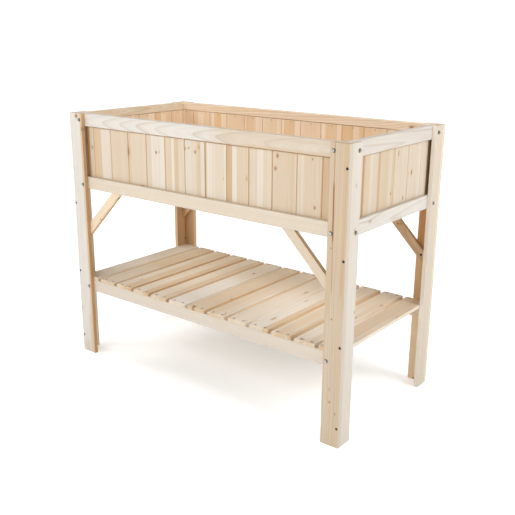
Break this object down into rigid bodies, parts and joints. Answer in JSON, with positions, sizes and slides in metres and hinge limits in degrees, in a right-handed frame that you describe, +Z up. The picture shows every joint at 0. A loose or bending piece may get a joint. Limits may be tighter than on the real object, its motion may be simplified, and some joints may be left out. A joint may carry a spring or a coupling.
{
  "type": "raised planter",
  "caption": "Waist-high rectangular fir planter: an open slatted trough on L-shaped board legs, with corner braces and a slatted shelf below.",
  "frame": {"origin": "on the floor, under the centre of the planter", "axes": "+X along the length towards the end with the right-hand legs, -Y is the front long side, +Z up"},
  "size_m": [1.0292, 0.5192, 0.8],
  "materials": {
    "fir": "bare planed softwood",
    "zinc_steel": "zinc plated",
    "black_screws": "black oxide",
    "nail_steel": "bright nail steel, dulled"
  },
  "bodies": {
    "root": {"bolt_washers": "zinc_steel", "brace_back_left": "fir", "brace_back_right": "fir", "brace_foot_screws": "black_screws", "brace_front_left": "fir", "brace_front_right": "fir", "brace_head_screws": "black_screws", "corner_screws": "black_screws", "floor_board_01": "fir", "floor_board_02": "fir", "floor_board_03": "fir", "floor_board_04": "fir", "floor_board_05": "fir", "floor_board_06": "fir", "floor_board_07": "fir", "floor_board_08": "fir", "floor_board_09": "fir", "floor_board_10": "fir", "floor_ledger_back": "fir", "floor_ledger_front": "fir", "floor_nails": "nail_steel", "ledger_screws": "black_screws", "leg_back_left_face_board": "fir", "leg_back_left_side_board": "fir", "leg_back_right_face_board": "fir", "leg_back_right_side_board": "fir", "leg_bolts": "zinc_steel", "leg_front_left_face_board": "fir", "leg_front_left_side_board": "fir", "leg_front_right_face_board": "fir", "leg_front_right_side_board": "fir", "rail_bottom_back": "fir", "rail_bottom_front": "fir", "rail_bottom_left": "fir", "rail_bottom_right": "fir", "rail_top_back": "fir", "rail_top_front": "fir", "rail_top_left": "fir", "rail_top_right": "fir", "shelf_nails": "nail_steel", "shelf_rail_back": "fir", "shelf_rail_front": "fir", "shelf_slat_01": "fir", "shelf_slat_02": "fir", "shelf_slat_03": "fir", "shelf_slat_04": "fir", "shelf_slat_05": "fir", "shelf_slat_06": "fir", "shelf_slat_07": "fir", "shelf_slat_08": "fir", "shelf_slat_09": "fir", "shelf_slat_10": "fir", "shelf_slat_11": "fir", "shelf_slat_12": "fir", "shelf_slat_13": "fir", "wall_pins": "nail_steel", "wall_slats_back": "fir", "wall_slats_front": "fir", "wall_slats_left": "fir", "wall_slats_right": "fir"}
  },
  "joints": []
}
